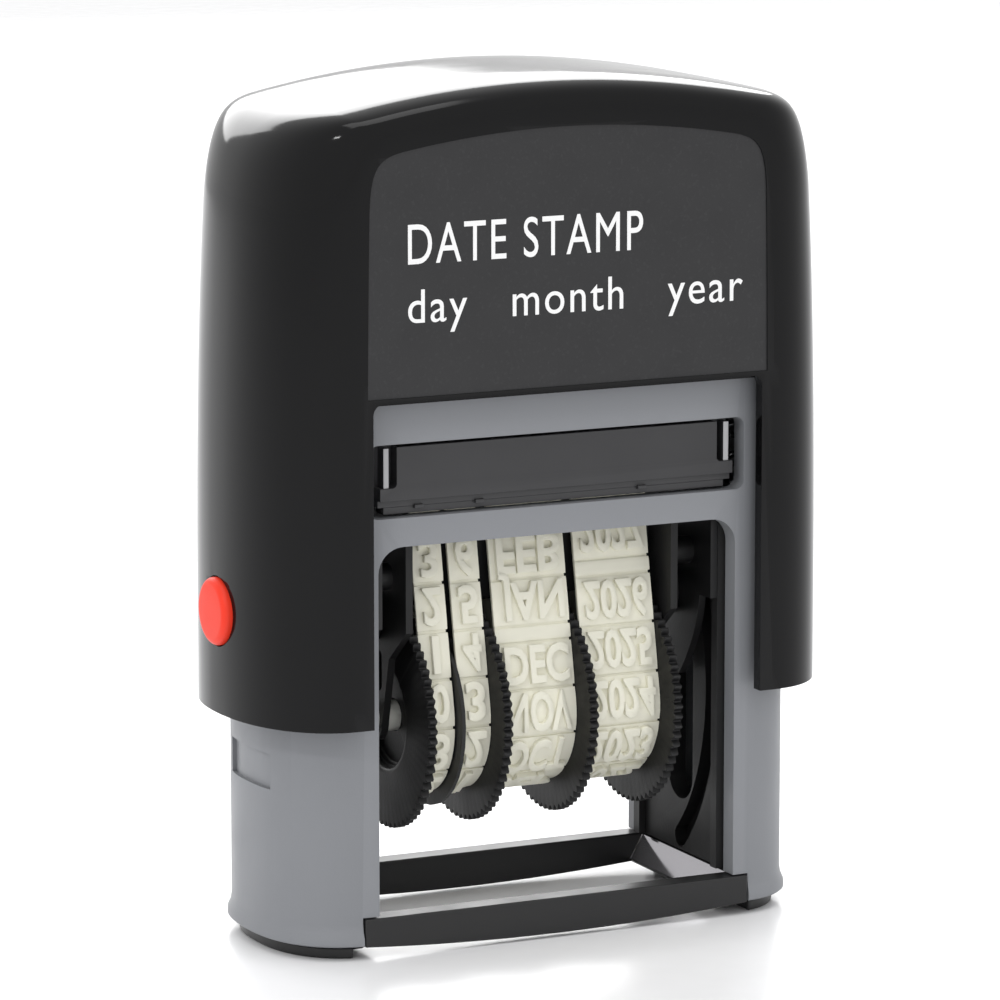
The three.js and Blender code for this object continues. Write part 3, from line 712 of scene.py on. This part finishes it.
def make_band(name, cells, first, pitch):
    """A band: a strap, a plate for each cell, and the cell's raised characters, mirrored as a stamp needs.
    first is where the first cell's middle is, along the front run from the middle of the print face."""
    left, right = span(name, 0)
    strap = BandPath(STRAP_INSET)
    steps = 220
    rings = []
    for i in range(steps):
        y, z = strap.at(strap.total * i / steps)
        iy, iz = strap.at(strap.total * i / steps, -(BAND_THICKNESS - STRAP_INSET))
        a, b = left + 0.12, right - 0.12
        rings.append([(a, y, z), (b, y, z), (b, iy, iz), (a, iy, iz)])
    parts = [loft("strap", rings, closed_loft=True)]

    sizes = [pitch if cell is not None else BLANK_PLATE for cell in cells]
    stretch = strap.total / sum(sizes)
    position = first - sizes[0] * stretch / 2
    for cell, size in zip(cells, sizes):
        size *= stretch
        plate = []
        for i in range(7):
            distance = position + PLATE_GAP + (size - 2 * PLATE_GAP) * i / 6
            edge = 0.06 if i in (0, 6) else 0.0
            low, high = strap.at(distance, -0.05), strap.at(distance, PLATE_HEIGHT - edge)
            plate.append([(left, *low), (right, *low), (right, *high), (left, *high)])
        parts.append(loft("plate", plate))
        if cell:
            points, faces = glyphs(cell, right - left - 1.3)
            middle = position + size / 2
            placed = []
            for x, y, lift in points:
                height = PLATE_HEIGHT - 0.05 + (RELIEF + 0.05) * lift
                placed.append(((left + right) / 2 + x, *strap.at(middle + y, height)))
            parts.append(outward(from_points("characters", placed, faces)))
        position += size
    whole = bmesh.new()
    for part in parts:
        whole.from_mesh(part.data)
        bpy.data.objects.remove(part)
    mesh = bpy.data.meshes.new(name + "_rubber")
    whole.to_mesh(mesh)
    whole.free()
    band = bpy.data.objects.new(name + "_rubber", mesh)
    scene.collection.objects.link(band)
    soften(band, 0.05, 1, 50, clean=False)
    bake(band)
    return place(band, "carriage", "cream_rubber", CREAM_RUBBER, name)


# ---------- wheels and small turned pieces ----------

TEETH = 68
TOOTH_DEPTH = 0.55
STEPS_PER_TOOTH = 6


def make_wheel(name, wheel_side):
    """A toothed disc with a recessed face, and the drum that carries the band on its other side."""
    low, high = span(name, 0)
    thickness, bore, drum = 0.95, 1.76, 7.6
    disc_low = low if wheel_side < 0 else high - thickness
    disc_high = disc_low + thickness
    root = WHEEL_RADIUS - TOOTH_DEPTH
    tooth = (0.0, 0.0, 0.55, 1.0, 1.0, 0.55)

    def edge(i, radius):
        if radius <= root:
            return radius
        return root + (radius - root) * tooth[i % STEPS_PER_TOOTH]

    faces = [
        (disc_low + 1.4, bore), (disc_low + 1.4, 5.1), (disc_low + 1.25, 5.3), (disc_low + 0.85, 5.35),
        (disc_low + 0.8, 5.6), (disc_low + 0.3, 5.65), (disc_low + 0.12, 5.75),
        (disc_low, 5.95), (disc_low, 6.2),
        (disc_low, root - 0.15), (disc_low + 0.02, WHEEL_RADIUS - 0.1), (disc_low + 0.1, WHEEL_RADIUS),
        (disc_high - 0.1, WHEEL_RADIUS), (disc_high - 0.02, WHEEL_RADIUS - 0.1), (disc_high, root - 0.15),
    ]
    if wheel_side < 0:
        faces += [(disc_high, drum), (high, drum), (high, bore)]
    else:
        faces += [(disc_high, 6.08), (disc_high - 0.4, 6.0), (disc_high - 0.4, bore)]
        faces[0:9] = [(low, bore), (low, drum), (disc_low, drum)]
    rings = lathe_rings(faces, AXLE_Z, TEETH * STEPS_PER_TOOTH, edge)
    wheel = loft(name + "_moulding", rings, closed_loft=True)
    smooth(wheel)
    split = wheel.modifiers.new("crisp_edges", "EDGE_SPLIT")
    split.split_angle = math.radians(35)
    bake(wheel)
    body = name.replace("_wheel", "")
    return place(wheel, body, "black_satin", BLACK_MATT, name)


def make_button(name, side):
    """A crowned cap with a flange behind it that keeps it in the cover."""
    radius = BUTTON_RADIUS
    flange = radius + 0.5
    shoulder = BUTTON_INNER + 0.35
    profile = [(BUTTON_INNER, 0.01), (BUTTON_INNER, flange), (shoulder, flange), (shoulder, radius)]
    crown = 10
    for i in range(crown + 1):
        turn = math.pi / 2 * i / crown
        profile.append((BUTTON_OUTER - 0.75 + 0.75 * math.sin(turn), radius - 0.8 + 0.8 * math.cos(turn)))
    profile += [(BUTTON_OUTER, 1.4), (BUTTON_OUTER, 0.01)]
    rings = lathe_rings([(side * x, r) for x, r in profile], BUTTON_Z, 64)
    button = loft(name + "_cap", rings)
    smooth(button)
    soften(button, 0.08, 2, 50, clean=False)
    bake(button)
    return place(button, "button_left" if side < 0 else "button_right", "red_button", RED_PLASTIC, name)


def make_spring(name):
    """A compression spring, wound a little closer at its ends, that the cover squashes."""
    (left, right), (bottom, top) = span(name, 0), span(name, 2)
    wire, centre = 0.32, (left + right) / 2
    radius = (right - left) / 2 - wire
    turns, steps = 15, 22
    rings = []
    for i in range(turns * steps + 1):
        turn = 2 * math.pi * i / steps
        share = i / (turns * steps)
        eased = share * share * (3 - 2 * share)
        z = bottom + wire + (top - bottom - 2 * wire) * (eased * 0.35 + share * 0.65)
        out = Vector((math.cos(turn), math.sin(turn), 0))
        ring = []
        for k in range(8):
            around = 2 * math.pi * k / 8
            reach = radius + wire * math.cos(around)
            ring.append((centre + out.x * reach, out.y * reach, z + wire * math.sin(around)))
        rings.append(ring)
    spring = loft(name + "_wire", rings)
    smooth(spring)
    place(spring, "frame", "spring_steel", STEEL, name)
    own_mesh(spring)
    return spring


# ---------- ink cartridge ----------

def make_pad_case():
    """The cartridge: a tray with a well for the felt, grip ribs at its corners and a lip along its front."""
    width, depth = PAD_CASE_HALF_WIDTH, PAD_CASE_HALF_DEPTH
    bottom, top = PAD_CASE_BOTTOM + 0.75, PAD_CASE_TOP
    tray = block("ink_pad_tray", (-width, -depth, bottom), (width, depth, top))
    combine(tray, block("well", (-18.9, -8.4, bottom - 1), (18.9, 8.4, 50.5)), "DIFFERENCE")
    for sy in (-1, 1):
        y = sided(sy, depth - 0.7, depth + 1)
        rebate = block("rebate", (-width - 1, y[0], bottom - 1), (width + 1, y[1], bottom + 0.75))
        combine(tray, rebate, "DIFFERENCE")
        for sx in (-1, 1):
            x = sided(sx, width - 1.9, width + 1)
            y = sided(sy, depth - 1.6, depth + 1)
            grip = prism("grip", rounded(x[0], bottom + 2.1, x[1], top + 1, 0.5), 1, y[0], y[1])
            combine(tray, grip, "DIFFERENCE")
            rib_x, rib_y = sx * (width - 0.75), sy * (depth - 0.9)
            rib_low = (rib_x - 0.3, rib_y - 0.75, bottom + 2)
            rib = block("rib", rib_low, (rib_x + 0.3, rib_y + 0.75, top - 0.1))
            combine(tray, rib, "UNION")
    lip = block("lip", (-19.9, -11.4, PAD_CASE_BOTTOM), (19.9, -9.6, bottom + 0.2))
    combine(tray, lip, "UNION")
    for x in (-16, -9, 10):
        low, high = PAD_CASE_BOTTOM + 0.5, PAD_CASE_BOTTOM + 0.9
        combine(tray, block("bump", (x - 0.5, -11.9, low), (x + 0.5, -11.2, high)), "UNION")
    soften(tray, 0.13, 2, 40)
    bake(tray)
    place(tray, "ink_cartridge", "black_satin", CASE_SATIN, "ink_pad_case")
    tray.data.materials.append(RIB_GLOSS)
    for polygon in tray.data.polygons:
        x, y, z = polygon.center / MM
        on_rib = width - 1.1 < abs(x) < width - 0.4 and abs(y) > depth - 0.6 and z > bottom + 2.3
        polygon.material_index = 1 if on_rib else 0
    return tray


def make_felt():
    """The ink pad, with soft edges."""
    low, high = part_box("ink_pad")
    x, y, bottom, top = high.x / MM, high.y / MM, low.z / MM, high.z / MM
    felt = prism("ink_pad_felt", rounded(-x, -y, x, y, 1.2), 2, bottom, top)
    soften(felt, 0.5, 3, 40)
    bake(felt)
    place(felt, "ink_cartridge", "inked_felt", FELT, "ink_pad")
    return felt


# ---------- the pieces ----------

make_cover()
printed("print_title", "DATE STAMP", 4.2, -18.6, 8.4, 73.4)
printed("print_subtitle", "day   month   year", 4.6, -18.6, 20.2, 66.2)
make_frame()
make_base()
make_pad_case()
make_felt()
for word, side in (("left", -1), ("right", 1)):
    make_button("lock_button_" + word, side)
    make_spring("return_spring_" + word)

# Plain running sequences; None is the narrow blank plate where a band's two ends meet.
MONTHS = ["JAN", "FEB", "MAR", "APR", "MAY", "JUN", "JUL", "AUG", "SEP", "OCT", "NOV", "DEC"]
BLANKS = [""] * 4
day_tens = [str(3 - i % 4) for i in range(12)] + BLANKS
day_units = [str((6 - i) % 10) for i in range(16)]
months = MONTHS[1::-1] + [None] + MONTHS[:1:-1] + BLANKS
years = ["2027", None] + [str(2026 - i) for i in range(14)]
make_band("day_tens_band", day_tens, 10.1, 5.7)
make_band("day_units_band", day_units, 10.2, 5.7)
make_band("month_band", months, 10.5, 5.3)
make_band("year_band", years, 9.0, 5.6)
for word, side in (("day_tens", -1), ("day_units", 1), ("month", 1), ("year", 1)):
    make_wheel(word + "_wheel", side)

CAD_MATERIALS = {
    "guide_plate": BLACK_MATT, "drive_arm": BLACK_SATIN, "carriage_plate": BLACK_MATT, "platen": BLACK_MATT,
    "divider_disc": BLACK_MATT, "band_axle": WHITE_NYLON, "swing_arm": BLACK_SATIN,
}
for name, node in NODES.items():
    for start, material in CAD_MATERIALS.items():
        if name.startswith(start):
            node.data.materials.clear()
            node.data.materials.append(material)
            soften(node, 0.12 if start == "divider_disc" else 0.22, 2, 40)


# ---------- studio ----------

STAMP_MIDDLE = Vector((0, 0, 0.045))


def make_floor():
    half = 3000
    corners = [(-half, -half, 0), (half, -half, 0), (half, half, 0), (-half, half, 0)]
    floor = from_points("floor", corners, [(0, 1, 2, 3)])
    floor.data.materials.append(moulded("white_floor", (0.92, 0.92, 0.93, 1), 0.25, spread=0.02, mottle=0.01))


def put_facing(holder, target, distance, azimuth, elevation):
    """Links a light or camera and puts it at a distance from its target. Azimuth 0 is the front."""
    scene.collection.objects.link(holder)
    a, e = math.radians(azimuth), math.radians(elevation)
    back = Vector((math.sin(a) * math.cos(e), -math.cos(a) * math.cos(e), math.sin(e)))
    holder.location = target + back * distance
    holder.rotation_mode = "QUATERNION"
    holder.rotation_quaternion = (-back).to_track_quat("-Z", "Y")


def softbox(name, size, distance, azimuth, elevation, power):
    """A rectangular light that faces the stamp's middle."""
    light = bpy.data.lights.new(name, "AREA")
    light.shape = "RECTANGLE"
    light.size, light.size_y = size
    light.energy = power
    put_facing(bpy.data.objects.new(name, light), STAMP_MIDDLE, distance, azimuth, elevation)


def make_world():
    world = bpy.data.worlds.new("studio")
    world.use_nodes = True
    world.node_tree.nodes["Background"].inputs["Color"].default_value = (1, 1, 1, 1)
    world.node_tree.nodes["Background"].inputs["Strength"].default_value = 1.0
    scene.world = world


def make_camera():
    """A long lens low in front of the stamp, a little to its left."""
    camera = bpy.data.cameras.new("camera")
    camera.sensor_width = 36
    camera.lens = 212.5
    camera.clip_start = 0.01
    holder = bpy.data.objects.new("camera", camera)
    put_facing(holder, Vector((-0.00091, 0.00009, 0.04519)), 0.6296, -25.81, 10.2)
    scene.camera = holder


make_floor()
make_world()
make_camera()
softbox("top_softbox", (0.4, 0.4), 0.7, 0, 80, 1.6)
softbox("small_softbox", (0.1, 0.03), 0.6, -52, 38, 0.4)
softbox("back_softbox", (0.9, 0.35), 0.9, 170, 24, 4.5)
scene.view_settings.view_transform = "Standard"
